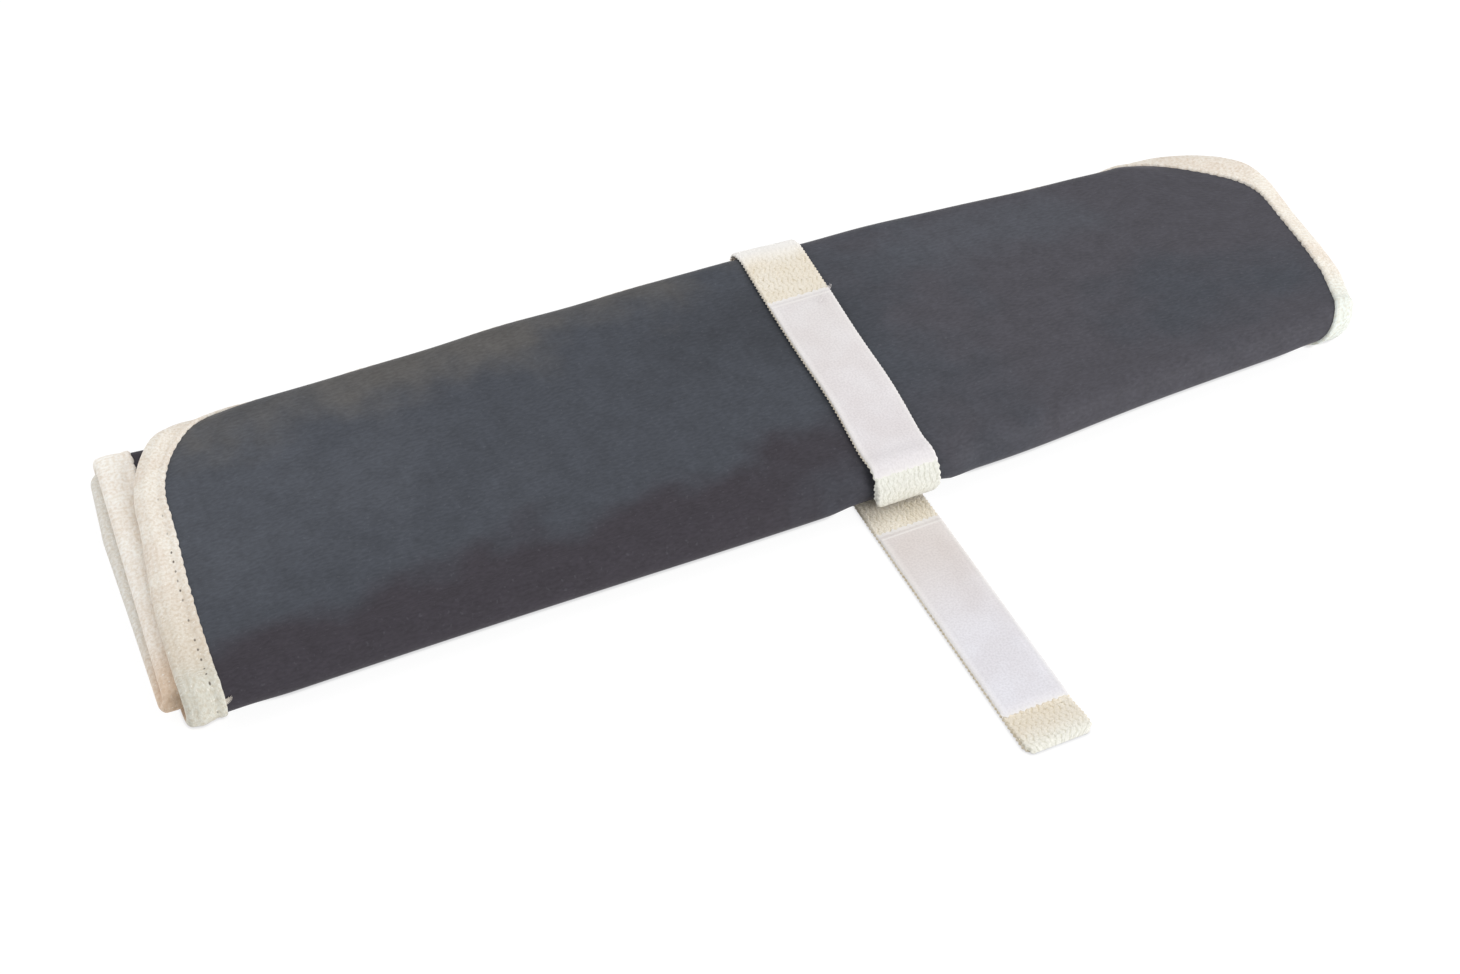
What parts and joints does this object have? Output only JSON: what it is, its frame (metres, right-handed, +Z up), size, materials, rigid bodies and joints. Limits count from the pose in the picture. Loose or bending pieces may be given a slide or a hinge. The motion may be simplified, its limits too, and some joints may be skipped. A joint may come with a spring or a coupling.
{
  "type": "knife roll",
  "caption": "Bound cloth knife roll, rolled up and pressed flat, with a flap on top and a webbing strap that closes with hook and loop patches.",
  "frame": {"origin": "on the flat underside of the roll, in the middle of its length between the bound ends and about half way from front to back", "axes": "+X along the roll to the end where the flap hangs over, +Y from the front fold to the back, +Z up from the table"},
  "size_m": [0.5037, 0.2678, 0.0251],
  "materials": {
    "shell_cloth": "matt waxed canvas with a fine grain along the roll",
    "lining_cloth": "plain woven cotton",
    "edge_tape": "soft cotton binding tape, folded over and stitched",
    "webbing": "woven cotton webbing with a zigzag rib",
    "loop_tape": "short looped pile",
    "hook_tape": "fine moulded hooks",
    "stitching": "cotton thread"
  },
  "bodies": {
    "rolled_mat": {"turns_shell": "shell_cloth", "turns_lining": "lining_cloth", "turns_binding": "edge_tape", "pocket_panel": "lining_cloth", "pocket_mouth_edging": "edge_tape", "slot_seam_1": "stitching", "slot_seam_2": "stitching", "slot_seam_3": "stitching", "slot_seam_4": "stitching", "strap_under_run": "webbing", "strap_riser": "webbing"},
    "flap": {"flap_shell": "shell_cloth", "flap_lining": "lining_cloth", "flap_binding": "edge_tape", "strap_anchor": "webbing"},
    "strap": {"strap_upper": "webbing", "loop_patch": "loop_tape"},
    "strap_end": {"strap_tip": "webbing", "loop_patch_front": "loop_tape", "strap_tip_hem": "webbing"},
    "tail_root": {"tail_root": "webbing", "hook_patch_root": "hook_tape"},
    "tail_end": {"tail_end": "webbing", "hook_patch_end": "hook_tape"},
    "tail_tab": {"tail_tab": "webbing", "tail_tab_hem": "webbing"}
  },
  "joints": [
    {"name": "flap_open", "type": "hinge", "parent": "rolled_mat", "child": "flap", "pos_m": [0.034, -0.051, 0.0226], "axis": [1, 0, 0], "range_deg": [0, 180]},
    {"name": "strap_lift", "type": "hinge", "parent": "flap", "child": "strap", "pos_m": [0.0394, 0.0699, 0.021], "axis": [0.9984, -0.0564, 0], "range_deg": [-150, 0]},
    {"name": "strap_end_hang", "type": "hinge", "parent": "strap", "child": "strap_end", "pos_m": [0.034, -0.051, 0.0226], "axis": [1, 0, 0], "range_deg": [-180, 0]},
    {"name": "tail_lift", "type": "hinge", "parent": "rolled_mat", "child": "tail_root", "pos_m": [0.028, -0.0765, 0.002], "axis": [1, 0, 0], "range_deg": [-92.5, 0]},
    {"name": "tail_fold", "type": "hinge", "parent": "tail_root", "child": "tail_end", "pos_m": [0.028, -0.097, 0.0037], "axis": [1, 0, 0], "range_deg": [-85, 0]},
    {"name": "tail_tab_curl", "type": "hinge", "parent": "tail_end", "child": "tail_tab", "pos_m": [0.028, -0.1741, 0.002], "axis": [-1, 0, 0], "range_deg": [0, 40]}
  ],
  "couplings": [
    {"joint": "strap_end_hang", "follows": "flap_open", "ratio": -1}
  ]
}
